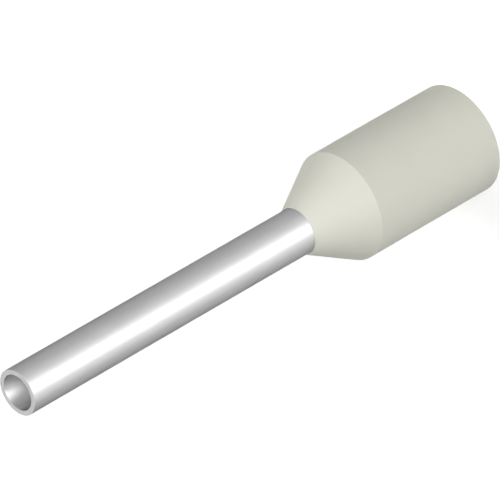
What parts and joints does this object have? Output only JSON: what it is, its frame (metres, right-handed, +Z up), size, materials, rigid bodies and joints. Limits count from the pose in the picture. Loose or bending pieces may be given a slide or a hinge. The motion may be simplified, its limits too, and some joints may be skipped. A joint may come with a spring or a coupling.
{
  "type": "wire ferrule",
  "caption": "Insulated wire ferrule: a thin plated metal crimp sleeve standing out of an off-white plastic collar with a cone and an open mouth for the wire's insulation",
  "frame": {"origin": "the middle of the collar's open mouth, which it stands on", "axes": "+Z up the common axis, from the mouth to the sleeve's tip; it is round, so X and Y are free"},
  "size_m": [0.0032, 0.003, 0.016],
  "materials": {
    "collar_plastic": "moulded, matte, off-white",
    "plated_metal": "tin plated, satin, cool grey"
  },
  "bodies": {
    "root": {"insulating_collar": "collar_plastic", "metal_sleeve": "plated_metal"}
  },
  "joints": []
}
